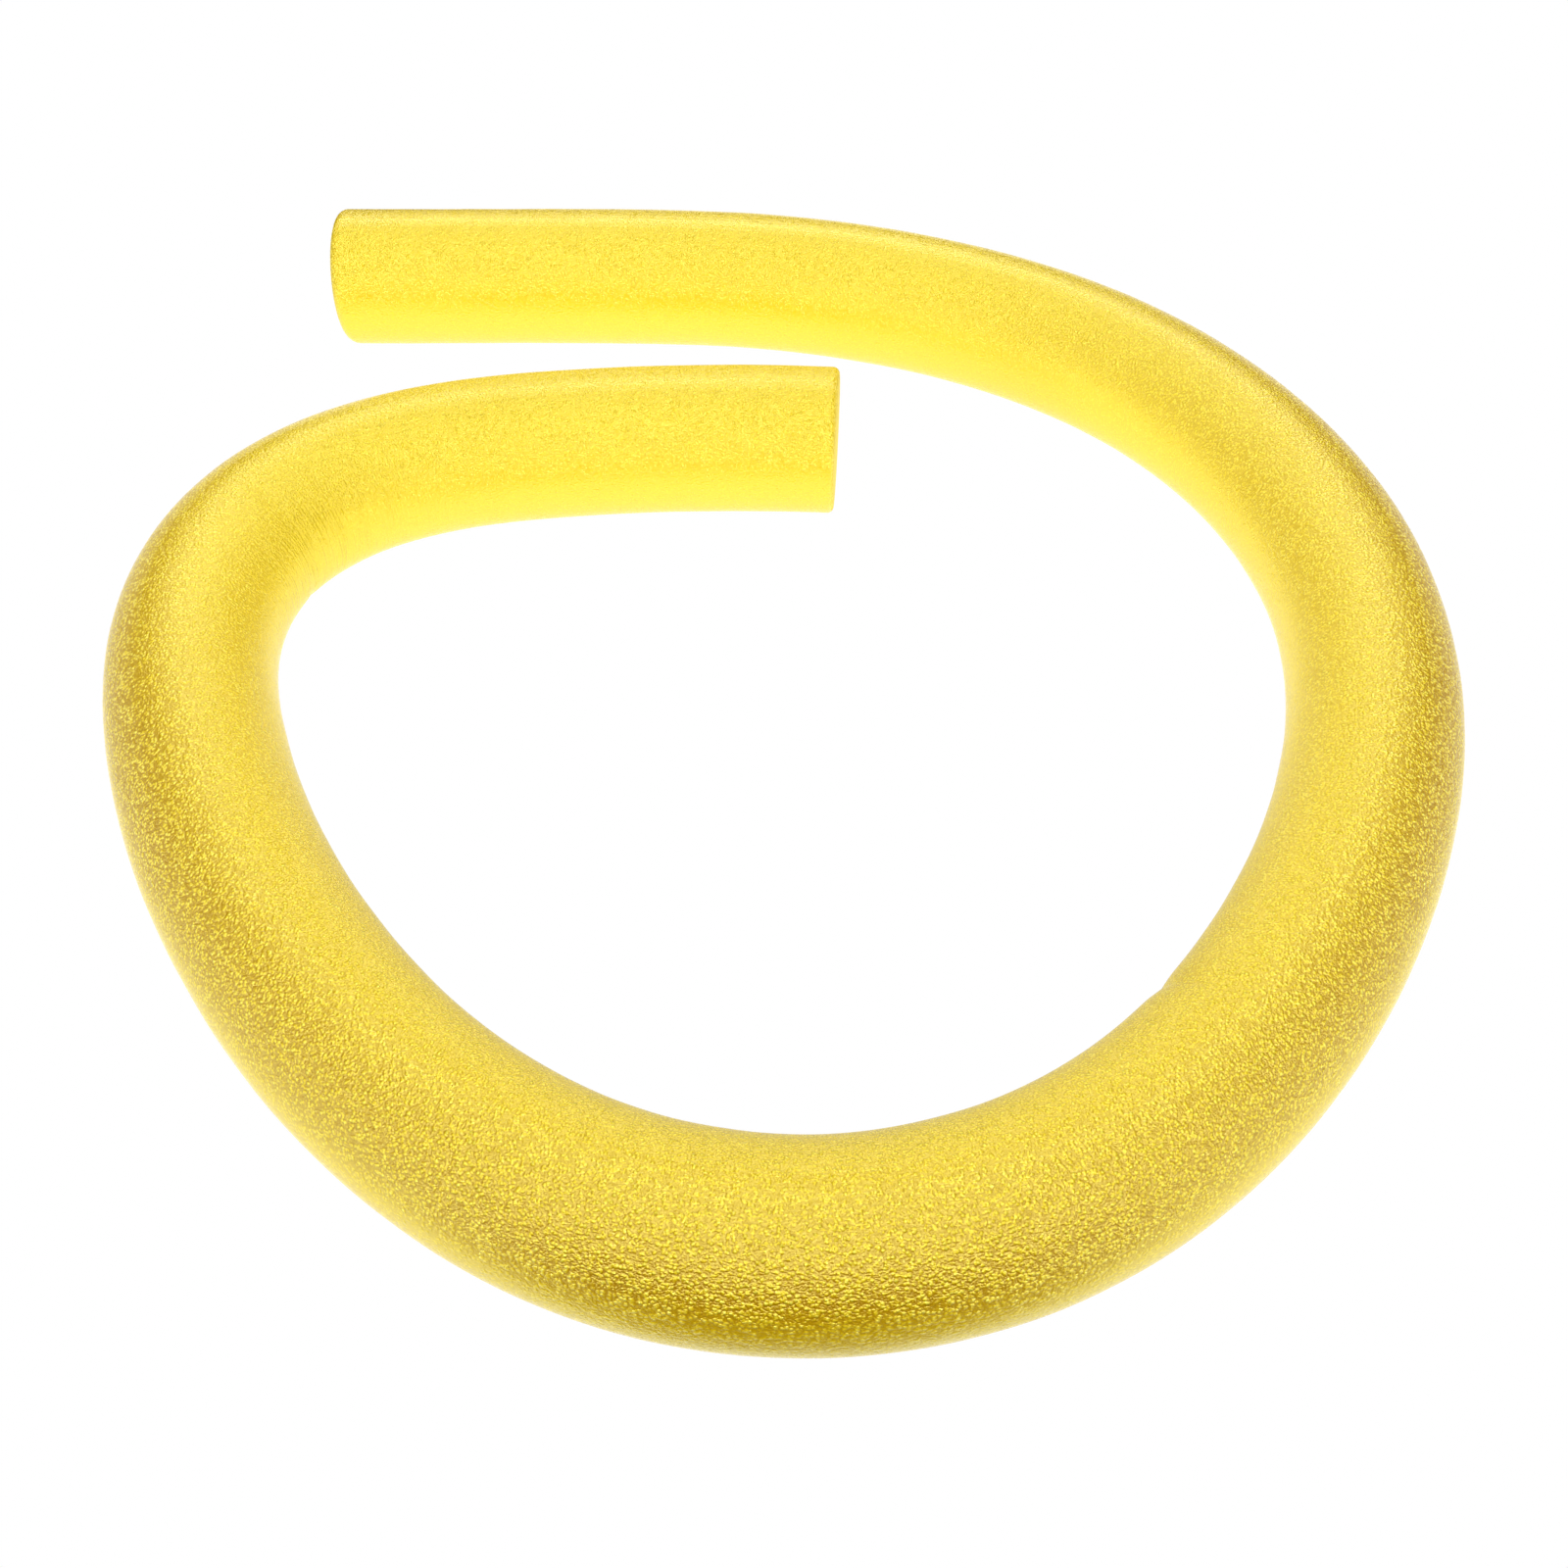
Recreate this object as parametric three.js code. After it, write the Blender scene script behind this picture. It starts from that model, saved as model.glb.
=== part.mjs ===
// A pool noodle: one round rod of closed-cell polyethylene foam, bent into an open loop and lying flat.
// Millimetres, +Z up. The origin is on the ground, in the middle of the loop's bounding box.
import * as THREE from 'three';

// Driving dimensions.
const DIAMETER = 57.5;
const EASE = 120; // length over which one bend passes smoothly into the next
const SIDES = 24; // sides of the round section, with a flat one underneath
const STEP = 20; // length of one step of the sweep

// The bent noodle from its far end round to its near end: how far each stretch runs along the centre
// line, and how many degrees it turns clockwise over that run. The runs add up to the noodle's length.
const STRETCHES = [
  { run: 145, turn: 0 }, // far end, straight along +X
  { run: 160, turn: 29 }, // back
  { run: 270, turn: 76 }, // right side
  { run: 170, turn: 31 }, // right side, easing
  { run: 230, turn: 84 }, // front
  { run: 235, turn: 40 }, // left side
  { run: 120, turn: 88 }, // tight bend at the back left
  { run: 170, turn: 16 }, // near end, nearly straight
];

const length = STRETCHES.reduce((sum, stretch) => sum + stretch.run, 0);
const steps = Math.round(length / STEP);

// Degrees turned per millimetre at a distance along the noodle: the stretches' own rates, averaged over
// the easing length. The first and last stretches carry on past the ends.
function turnRate(distance) {
  let rate = 0;
  let start = 0;
  for (const { run, turn } of STRETCHES) {
    const end = start + run;
    const low = start === 0 ? -Infinity : start;
    const high = end === length ? Infinity : end;
    const overlap = Math.min(high, distance + EASE / 2) - Math.max(low, distance - EASE / 2);
    rate += (Math.max(0, overlap) / EASE) * (turn / run);
    start = end;
  }
  return rate;
}

// The centre line, walked in equal steps that each turn by their share.
function centreLine() {
  const point = new THREE.Vector3();
  const points = [point.clone()];
  let heading = 0;
  for (let i = 0; i < steps; i++) {
    const turn = turnRate((i + 0.5) * STEP) * STEP;
    const direction = THREE.MathUtils.degToRad(heading - turn / 2);
    point.x += STEP * Math.cos(direction);
    point.y += STEP * Math.sin(direction);
    points.push(point.clone());
    heading -= turn;
  }
  return new THREE.CatmullRomCurve3(points);
}

// The round section, with its sides the noodle's diameter apart. Its first axis becomes the vertical one,
// so half a side's turn puts a flat side at the bottom, where the noodle rests.
function section() {
  const halfSide = Math.PI / SIDES;
  const cornerRadius = DIAMETER / 2 / Math.cos(halfSide);
  const corners = [];
  for (let i = 0; i < SIDES; i++) {
    const angle = (2 * i + 1) * halfSide;
    corners.push(new THREE.Vector2(cornerRadius * Math.cos(angle), cornerRadius * Math.sin(angle)));
  }
  return new THREE.Shape(corners);
}

function foamNoodle() {
  const geometry = new THREE.ExtrudeGeometry(section(), { steps, extrudePath: centreLine() });
  geometry.computeBoundingBox();
  const middle = geometry.boundingBox.getCenter(new THREE.Vector3());
  geometry.translate(-middle.x, -middle.y, -geometry.boundingBox.min.z);
  const foam = new THREE.MeshStandardMaterial({ color: '#f0d83a', roughness: 0.5, metalness: 0 });
  const mesh = new THREE.Mesh(geometry, foam);
  mesh.name = 'foam_noodle';
  return mesh;
}

const noodle = new THREE.Group();
noodle.add(foamNoodle());

export default noodle;
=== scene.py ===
"""A pool noodle of yellow closed-cell foam, bent into an open loop and lying on a white floor."""
import math

import bpy
import numpy as np
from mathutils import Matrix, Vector, noise


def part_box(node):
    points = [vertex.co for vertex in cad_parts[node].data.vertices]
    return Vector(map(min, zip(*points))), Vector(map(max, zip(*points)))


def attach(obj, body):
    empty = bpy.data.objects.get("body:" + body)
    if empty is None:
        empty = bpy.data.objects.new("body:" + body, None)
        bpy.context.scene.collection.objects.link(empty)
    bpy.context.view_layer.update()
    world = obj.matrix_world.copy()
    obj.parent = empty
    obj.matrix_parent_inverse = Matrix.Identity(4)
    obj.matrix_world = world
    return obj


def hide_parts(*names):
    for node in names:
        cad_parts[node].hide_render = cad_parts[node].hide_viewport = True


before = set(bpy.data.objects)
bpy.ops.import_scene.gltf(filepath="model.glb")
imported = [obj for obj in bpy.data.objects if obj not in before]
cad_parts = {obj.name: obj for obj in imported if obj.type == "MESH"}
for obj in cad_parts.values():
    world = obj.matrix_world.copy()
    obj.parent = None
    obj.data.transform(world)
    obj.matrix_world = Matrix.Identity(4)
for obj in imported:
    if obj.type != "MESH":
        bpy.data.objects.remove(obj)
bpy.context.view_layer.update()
MM = 0.001

# ---------------------------------------------------------------- the noodle's own sizes, as in the CAD
# Millimetres.
DIAMETER = 57.5
RADIUS = DIAMETER / 2
EASE = 120.0  # length over which one bend passes smoothly into the next
STEP = 20.0  # distance between the walked points of the centre line
# How far each stretch runs along the centre line, and how many degrees it turns clockwise.
STRETCHES = [
    (145, 0),
    (160, 29),
    (270, 76),
    (170, 31),
    (230, 84),
    (235, 40),
    (120, 88),
    (170, 16),
]
LENGTH = float(sum(run for run, _ in STRETCHES))


def turn_rate(distance):
    """Degrees turned per millimetre: the stretches' own rates, averaged over the easing length."""
    rate, start = 0.0, 0.0
    for run, turn in STRETCHES:
        end = start + run
        low = -math.inf if start == 0 else start
        high = math.inf if end == LENGTH else end
        overlap = min(high, distance + EASE / 2) - max(low, distance - EASE / 2)
        rate += max(0.0, overlap) / EASE * (turn / run)
        start = end
    return rate


def walk():
    """The CAD's centre line: its points and its headings in radians, STEP apart."""
    x, y, heading = 0.0, 0.0, 0.0
    points, headings = [(x, y)], [heading]
    for i in range(round(LENGTH / STEP)):
        turn = turn_rate((i + 0.5) * STEP) * STEP
        direction = math.radians(heading - turn / 2)
        x += STEP * math.cos(direction)
        y += STEP * math.sin(direction)
        heading -= turn
        points.append((x, y))
        headings.append(math.radians(heading))
    return np.array(points), np.array(headings)


POINTS, HEADINGS = walk()


def centre(s):
    """Centre point (x, y) and heading at distances s, on one smooth curve through the walked points."""
    t = np.clip(s / STEP, 0, len(POINTS) - 1)
    i = np.minimum(t.astype(int), len(POINTS) - 2)
    f = (t - i)[:, None]
    tangent = np.stack([np.cos(HEADINGS), np.sin(HEADINGS)], 1) * STEP
    p0, p1, m0, m1 = POINTS[i], POINTS[i + 1], tangent[i], tangent[i + 1]
    xy = (
        (2 * f**3 - 3 * f**2 + 1) * p0
        + (f**3 - 2 * f**2 + f) * m0
        + (3 * f**2 - 2 * f**3) * p1
        + (f**3 - f**2) * m1
    )
    return xy, np.interp(t, np.arange(len(HEADINGS)), HEADINGS)


# ---------------------------------------------------------------- the noodle's mesh
# Millimetres and radians. An angle round the noodle is 0 on the outside of the loop, and a quarter turn on
# top.
SIDES = 64
AROUND = np.arange(SIDES) * (2 * math.pi / SIDES)
RING_GAP = 1.02  # between rings along the body
RIM_ALLOWANCE = 12  # length that the body's ring count leaves to the two rounded edges
RIM_RINGS = 6  # rings round each rounded edge, after its first
FACE_RINGS = (0.12, 0.26, 0.42, 0.58, 0.74, 0.9)  # rings on each cut face, as parts of its flat radius
NEAR_RIM = 2.6  # radius of the near end's rounded edge
FAR_RIM = 4.0  # the same at the far end, on top
FAR_RIM_EXTRA = 1.5  # how much larger it is there underneath
FACE_ROUGHNESS = 0.25  # unevenness of the cut faces
FACE_CHANGES = 3.1  # how quickly it changes from the middle of a face to its edge
NEAR_FACE_PATTERN = 9.3  # gives the near face a pattern of its own
# The extrusion's unevenness: its size, how far it reaches along and around the noodle, where it starts.
SWELLS = [(0.20, 55, 26, 0), (0.09, 17, 14, 40)]
# Crushed places on the inside of the loop: distance along, half width, depth.
CREASES = [(724.0, 11.0, 1.1), (1258.0, 10.0, 0.6)]


def rim_radius(near, angle):
    """How softly a cut's edge is rounded. The far end's edge is rounder, most of all low down."""
    low = 0.5 - 0.5 * math.sin(angle)
    return NEAR_RIM if near else FAR_RIM + FAR_RIM_EXTRA * low


def unevenness(s, angle):
    """Radial unevenness of the extrusion, slow along and around the noodle."""
    y, z = RADIUS * math.cos(angle), RADIUS * math.sin(angle)
    total = 0.0
    for size, along, across, start in SWELLS:
        total += size * noise.noise(Vector((s / along + start, y / across, z / across)))
    return total


def crease(s, angle):
    """Depth of the crushed places. They are on the inside of the loop and fade out over the top."""
    inside = max(0.0, -math.cos(angle)) ** 0.7
    total = 0.0
    for middle, half, depth in CREASES:
        off = abs(s - middle) / half
        if off < 1:
            total += depth * (1 - off) ** 2 * inside
    return total


def end_rings(near):
    """Rings of one end, from the middle of its cut face to the skin: distance from the end, and radius."""
    rim = np.array([rim_radius(near, angle) for angle in AROUND])
    pattern = NEAR_FACE_PATTERN * near
    rings = []
    for k in FACE_RINGS:
        out = FACE_CHANGES * k
        rough = np.array([
            noise.noise(Vector((pattern, out * math.cos(angle), out * math.sin(angle))))
            for angle in AROUND
        ])
        rings.append((FACE_ROUGHNESS * rough * (1 - k**4), k * (RADIUS - rim)))
    for k in range(RIM_RINGS + 1):
        turn = k / RIM_RINGS * math.pi / 2
        rings.append((rim * (1 - math.cos(turn)), RADIUS - rim * (1 - math.sin(turn))))
    return rings


def body_rings():
    """Rings of the plain body between the two rounded edges: distance along, and radius."""
    start = np.array([rim_radius(False, angle) for angle in AROUND])
    end = LENGTH - np.array([rim_radius(True, angle) for angle in AROUND])
    count = round((LENGTH - RIM_ALLOWANCE) / RING_GAP)
    return [(start + (end - start) * (j / count), np.full(SIDES, RADIUS)) for j in range(1, count)]


def skin_points(s, r):
    """The skin's points, from their distances along and ideal radii. The loop is centred on the CAD's box
    and lies on the ground."""
    bump = np.array([
        [unevenness(s[i, j], AROUND[j]) - crease(s[i, j], AROUND[j]) for j in range(SIDES)]
        for i in range(len(s))
    ])
    uneven = r + bump * (r / RADIUS) ** 3
    xy, heading = centre(s.ravel())
    xy, heading = xy.reshape(*s.shape, 2), heading.reshape(s.shape)

    def spread(radius):
        x = xy[..., 0] - np.sin(heading) * radius * np.cos(AROUND)
        y = xy[..., 1] + np.cos(heading) * radius * np.cos(AROUND)
        return x, y

    x, y = spread(uneven)
    z = np.maximum(RADIUS + uneven * np.sin(AROUND), 0.0)
    ideal_x, ideal_y = spread(r)
    low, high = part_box("foam_noodle")
    x += (low[0] + high[0]) / 2 / MM - (ideal_x.min() + ideal_x.max()) / 2
    y += (low[1] + high[1]) / 2 / MM - (ideal_y.min() + ideal_y.max()) / 2
    return np.stack([x, y, z], 2)


def skin_faces(count):
    """Faces between neighbouring rings, and a fan round the middle point of each cut face."""
    faces = []
    for i in range(count - 1):
        a = i * SIDES
        for j in range(SIDES):
            k = (j + 1) % SIDES
            faces.append((a + j, a + k, a + SIDES + k, a + SIDES + j))
    last = (count - 1) * SIDES
    far_middle, near_middle = count * SIDES, count * SIDES + 1
    for j in range(SIDES):
        k = (j + 1) % SIDES
        faces.append((far_middle, k, j))
        faces.append((near_middle, last + j, last + k))
    return faces


def cut_weights(count):
    """1 on the cut faces and on half of each rounded edge, 0 on the skin."""
    cut = np.zeros((count, SIDES))
    edge = len(FACE_RINGS) + RIM_RINGS // 2
    cut[:edge] = 1.0
    cut[-edge:] = 1.0
    cut[edge] = cut[-edge - 1] = 0.5
    return np.concatenate([cut.ravel(), [1, 1]])


def squeeze_weights(s):
    """How much the foam is squeezed along its length: positive on the inside of a bend."""
    rate = np.array([math.radians(turn_rate(distance)) for distance in s[:, 0]])
    squeeze = -rate[:, None] * RADIUS * np.cos(AROUND)[None, :]
    return np.concatenate([squeeze.ravel(), [0, 0]])


def build_noodle():
    near_end = [(LENGTH - distance, radius) for distance, radius in reversed(end_rings(True))]
    rings = end_rings(False) + body_rings() + near_end
    s = np.array([distance for distance, _ in rings])
    r = np.array([radius for _, radius in rings])
    points = skin_points(s, r)
    middles = np.array([points[0].mean(0), points[-1].mean(0)])
    points = np.concatenate([points.reshape(-1, 3), middles]) * MM
    # Each point's place on the noodle before it is bent: along it, out of the loop, up from its middle.
    rest = np.stack([s, r * np.cos(AROUND), r * np.sin(AROUND)], 2)
    rest_middles = np.array([[0.0, 0, 0], [LENGTH, 0, 0]])
    rest = np.concatenate([rest.reshape(-1, 3), rest_middles]) * MM

    mesh = bpy.data.meshes.new("foam_noodle_skin")
    mesh.from_pydata(points.tolist(), [], skin_faces(len(rings)))
    mesh.update()
    mesh.attributes.new("rest_position", "FLOAT_VECTOR", "POINT").data.foreach_set("vector", rest.ravel())
    for name, weights in (("cut", cut_weights(len(rings))), ("squeeze", squeeze_weights(s))):
        mesh.attributes.new(name, "FLOAT", "POINT").data.foreach_set("value", weights)
    mesh.polygons.foreach_set("use_smooth", np.ones(len(mesh.polygons), bool))
    obj = bpy.data.objects.new("foam_noodle_skin", mesh)
    bpy.context.scene.collection.objects.link(obj)
    return obj


# ---------------------------------------------------------------- materials
class Tree:
    """Small helper that adds nodes to a material or to the world."""

    def __init__(self, owner):
        owner.use_nodes = True
        self.tree = owner.node_tree
        self.tree.nodes.clear()

    def fill(self, socket, value):
        if isinstance(value, bpy.types.NodeSocket):
            self.tree.links.new(value, socket)
        else:
            socket.default_value = value

    def add(self, kind, inputs=None, **props):
        node = self.tree.nodes.new(kind)
        for key, value in props.items():
            setattr(node, key, value)
        for key, value in (inputs or {}).items():
            self.fill(node.inputs[key], value)
        return node

    def attribute(self, name, output):
        return self.add("ShaderNodeAttribute", attribute_name=name).outputs[output]

    def axes(self, vector):
        return self.add("ShaderNodeSeparateXYZ", {0: vector}).outputs

    def math(self, operation, a, b=None):
        inputs = {0: a} if b is None else {0: a, 1: b}
        return self.add("ShaderNodeMath", inputs, operation=operation).outputs[0]

    def times(self, first, *others):
        total = first
        for factor in others:
            total = self.math("MULTIPLY", total, factor)
        return total

    def ramp(self, value, low, high, to_low=0.0, to_high=1.0, smooth=True):
        """to_low where the value is low or less, to_high where it is high or more, and between them
        in between."""
        node = self.add(
            "ShaderNodeMapRange",
            {"Value": value, "From Min": low, "From Max": high, "To Min": to_low, "To Max": to_high},
            interpolation_type="SMOOTHSTEP" if smooth else "LINEAR",
            clamp=True,
        )
        return node.outputs["Result"]

    def mix(self, factor, a, b):
        node = self.add("ShaderNodeMix", {"Factor": factor}, data_type="RGBA")
        colour_a, colour_b, result = node.inputs[6], node.inputs[7], node.outputs[2]
        self.fill(colour_a, a)
        self.fill(colour_b, b)
        return result

    def white_to_camera(self, strength):
        """A light's strength, but 1 for the camera itself, which sees plain white."""
        camera_ray = self.add("ShaderNodeLightPath").outputs["Is Camera Ray"]
        return self.add("ShaderNodeMix", {"Factor": camera_ray, "A": strength, "B": 1.0}).outputs[0]

    def close(self, shader, output):
        self.tree.links.new(shader.outputs[0], self.add(output).inputs[0])


# Metres.
R = RADIUS * MM
CELL = 1.1 * MM  # a foam cell of the skin
CELL_DEPTH = 0.5 * MM
WRINKLE = (1.3 * MM, 12 * MM, 12 * MM)  # a wrinkle's size along and across the noodle
MIDDLE = 780 * MM  # the front of the loop, as distance along the noodle
# Linear colours.
GOLD = (0.92, 0.66, 0.009, 1)
# Painted shade for the hollows between the skin's cells.
HOLLOW_SHADE_GOLD = (0.45, 0.225, 0.001, 1)
# Painted highlight for the crests of the skin's cells.
CREST_HIGHLIGHT_GOLD = (0.97, 0.81, 0.08, 1)
GLOSS_TINT = (1.0, 0.97, 0.25, 1)
OPEN_CELL = (0.97, 0.82, 0.16, 1)
# Painted shade for the pits of the open cells on the cut faces.
OPEN_CELL_PIT_SHADE = (0.74, 0.52, 0.03, 1)
WHITE = (1, 1, 1, 1)
# The skin's gloss.
SKIN_ROUGHNESS = 0.15
CUT_ROUGHNESS = 0.6
SKIN_IOR = 2.1


def foam_material():
    mat = bpy.data.materials.new("foam_skin")
    t = Tree(mat)
    rest = t.attribute("rest_position", "Vector")
    cut = t.attribute("cut", "Fac")
    squeeze = t.attribute("squeeze", "Fac")
    along, outward, up = t.axes(rest)

    # How strongly the painted shade in the cells' hollows and the painted highlight on their crests show:
    # most on the outside of the loop, and less low down and towards the ends.
    towards_outside = t.ramp(outward, -0.5 * R, 0.75 * R, 0.55, 1.0)
    upper = t.ramp(up, 0.1 * R, 0.65 * R, 0.5, 1.0)
    from_middle = t.math("ABSOLUTE", t.math("SUBTRACT", along, MIDDLE))
    cell_shading_strength = t.times(towards_outside, upper, t.ramp(from_middle, 330 * MM, 540 * MM, 1.0, 0.6))

    # Height of the skin: a pillow on each cell, more on some than on others, with finer unevenness on them.
    cells = t.add(
        "ShaderNodeTexVoronoi",
        {"Vector": rest, "Scale": 1 / CELL, "Smoothness": 0.15},
        feature="SMOOTH_F1",
    )
    own = t.axes(cells.outputs["Color"])["X"]
    pillow = t.times(
        t.ramp(cells.outputs["Distance"], 0.05, 0.7, 1.0, 0.0),
        t.ramp(own, 0.0, 1.0, 0.3, 1.0, smooth=False),
    )
    fine = t.add(
        "ShaderNodeTexNoise",
        {"Vector": rest, "Scale": 1.9 / CELL, "Detail": 1.0, "Distortion": 0.2},
    )
    height = t.math("ADD", fine.outputs["Fac"], pillow)

    # Where a bend squeezes the foam, its skin has fine wrinkles across the noodle.
    per_wrinkle = [1 / size for size in WRINKLE]
    scaled = t.add("ShaderNodeVectorMath", {0: rest, 1: per_wrinkle}, operation="MULTIPLY")
    ripple = t.add("ShaderNodeTexNoise", {"Vector": scaled.outputs[0], "Scale": 1.0, "Detail": 0.0})
    wrinkle = t.times(t.ramp(ripple.outputs["Fac"], 0.3, 0.7, 0.0, 0.6), t.ramp(squeeze, 0.1, 0.34))
    raised = t.math("ADD", t.times(height, upper), wrinkle)
    bump = t.add("ShaderNodeBump", {"Height": raised, "Strength": 1.0, "Distance": CELL_DEPTH})

    # Painted shade and painted highlight: the hollows between cells are darkened to a deep gold, and the
    # crests are made pale.
    painted_hollow_shade = t.times(t.ramp(height, 0.47, 1.02, 1.0, 0.0), cell_shading_strength)
    painted_crest_highlight = t.times(t.ramp(height, 0.98, 1.4, 0.0, 1.0), cell_shading_strength)
    skin = t.mix(painted_crest_highlight, t.mix(painted_hollow_shade, GOLD, HOLLOW_SHADE_GOLD), CREST_HIGHLIGHT_GOLD)
    # The cut faces are open cells: paler, duller, with their pits darkened as painted shade.
    open_cells = t.mix(t.ramp(cells.outputs["Distance"], 0.1, 0.6), OPEN_CELL, OPEN_CELL_PIT_SHADE)
    shader = t.add(
        "ShaderNodeBsdfPrincipled",
        {
            "Base Color": t.mix(cut, skin, open_cells),
            "Roughness": t.ramp(cut, 0.0, 1.0, SKIN_ROUGHNESS, CUT_ROUGHNESS),
            "IOR": SKIN_IOR,
            "Specular IOR Level": 1.0,
            "Specular Tint": GLOSS_TINT,
            "Normal": bump.outputs["Normal"],
        },
    )
    t.close(shader, "ShaderNodeOutputMaterial")
    return mat


# ---------------------------------------------------------------- camera, floor and light
# Metres and degrees.
CAMERA_PLACE = (0.0005, -0.4248, 0.4432)
CAMERA_DOWN = 49.344  # how steeply the camera looks down
CAMERA_RIGHT = 0.103  # how far it is turned to the right
LENS_MM, SENSOR_MM = 38.04, 36.0
FLOOR_HALF_SIZE = 12.0
FLOOR_GAP = 0.0004  # keeps the floor clear of the noodle's underside
# The light from the floor, next to white paper at 1. Each edge is where it starts and where it ends.
SHEET_GLOW = 1.4
SHEET_EDGE = (0.39, 0.45)  # from the origin
FRONT_GLOW = 0.6  # the front half of the sheet's middle, as a part of the rest
FRONT_EDGE = (-0.08, 0.04)  # in Y
MIDDLE_EDGE = (0.17, 0.21)  # from the origin
PATCH_SIDE = (0.12, 0.22)  # of the dark patch in front, in X
PATCH_BACK = (-0.28, -0.262)  # of the same, in Y
# The studio round the noodle, the same on the left and the right. Azimuth is 0 at the back and 180 degrees
# on the camera's side. Each panel: its azimuths, its heights above the ground, and how bright it is next to
# white paper at 1.
PANELS = [
    ((0, 180), (0, 90), 0.16),  # the room
    ((0, 180), (60, 90), 1.85),  # a wide softbox overhead
    ((104, 124), (8, 28), 7.5),  # a softbox on each side
    ((125, 150), (34, 46), 7.2),  # a softbox on each side of the camera, higher up
    ((160, 180), (32, 54), 3.7),  # a softbox over the camera
    ((0, 28), (0, 12), 3.4),  # the foot of the backdrop
    ((0, 28), (12, 60), 1.35),  # the backdrop
]
SOFT_EDGE = 3.0


def build_camera():
    data = bpy.data.cameras.new("camera")
    data.sensor_width = SENSOR_MM
    data.lens = LENS_MM
    data.clip_start, data.clip_end = 0.01, 50.0
    cam = bpy.data.objects.new("camera", data)
    cam.location = CAMERA_PLACE
    cam.rotation_euler = (math.radians(90 - CAMERA_DOWN), 0, math.radians(-CAMERA_RIGHT))
    bpy.context.scene.collection.objects.link(cam)
    bpy.context.scene.camera = cam


def floor_material():
    """Plain white to the camera. It lights the noodle from below, as a round sheet that is dimmer in the
    front half of its middle and dark in a patch in front of the loop."""
    mat = bpy.data.materials.new("white_floor")
    t = Tree(mat)
    mat.cycles.emission_sampling = "NONE"
    place = t.add("ShaderNodeNewGeometry").outputs["Position"]
    away = t.add("ShaderNodeVectorMath", {0: place}, operation="LENGTH").outputs["Value"]
    x, y, _ = t.axes(place)
    sheet = t.ramp(away, *SHEET_EDGE, SHEET_GLOW, 0.0)
    middle = t.ramp(away, *MIDDLE_EDGE, t.ramp(y, *FRONT_EDGE, FRONT_GLOW, 1.0), 1.0)
    side = t.ramp(t.math("ABSOLUTE", x), *PATCH_SIDE, 1.0, 0.0)
    patch = t.times(side, t.ramp(y, *PATCH_BACK, 1.0, 0.0))
    strength = t.times(sheet, middle, t.math("SUBTRACT", 1.0, patch))
    glow = t.add("ShaderNodeEmission", {"Color": WHITE, "Strength": t.white_to_camera(strength)})
    t.close(glow, "ShaderNodeOutputMaterial")
    return mat


def build_floor():
    """A white floor that shows no shadow."""
    size = FLOOR_HALF_SIZE
    mesh = bpy.data.meshes.new("floor")
    corners = [(-size, -size, 0), (size, -size, 0), (size, size, 0), (-size, size, 0)]
    mesh.from_pydata(corners, [], [(0, 1, 2, 3)])
    mesh.materials.append(floor_material())
    floor = bpy.data.objects.new("floor", mesh)
    floor.location.z = -FLOOR_GAP
    bpy.context.scene.collection.objects.link(floor)


def build_light():
    """A studio of soft white panels. The camera itself sees plain white."""
    world = bpy.data.worlds.new("studio")
    bpy.context.scene.world = world
    t = Tree(world)
    x, y, z = t.axes(t.add("ShaderNodeTexCoord").outputs["Generated"])
    azimuth = t.math("DEGREES", t.math("ARCTAN2", t.math("ABSOLUTE", x), y))
    height = t.math("DEGREES", t.math("ARCSINE", z))

    def masks(value, start, end, limit):
        """1 between start and end, 0 outside, with soft edges. No edge is needed at 0 or at the limit."""
        if start > 0:
            yield t.ramp(value, start - SOFT_EDGE, start + SOFT_EDGE)
        if end < limit:
            yield t.ramp(value, end - SOFT_EDGE, end + SOFT_EDGE, 1.0, 0.0)

    total = 0.0
    for azimuths, heights, strength in PANELS:
        panel = t.times(strength, *masks(azimuth, *azimuths, 180), *masks(height, *heights, 90))
        total = t.math("ADD", total, panel)
    sky = t.add("ShaderNodeBackground", {"Color": WHITE, "Strength": t.white_to_camera(total)})
    t.close(sky, "ShaderNodeOutputWorld")


def main():
    noodle = build_noodle()
    noodle.data.materials.append(foam_material())
    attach(noodle, "root")
    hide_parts("foam_noodle")
    build_camera()
    build_floor()
    build_light()
    bpy.context.scene.view_settings.view_transform = "Standard"


main()
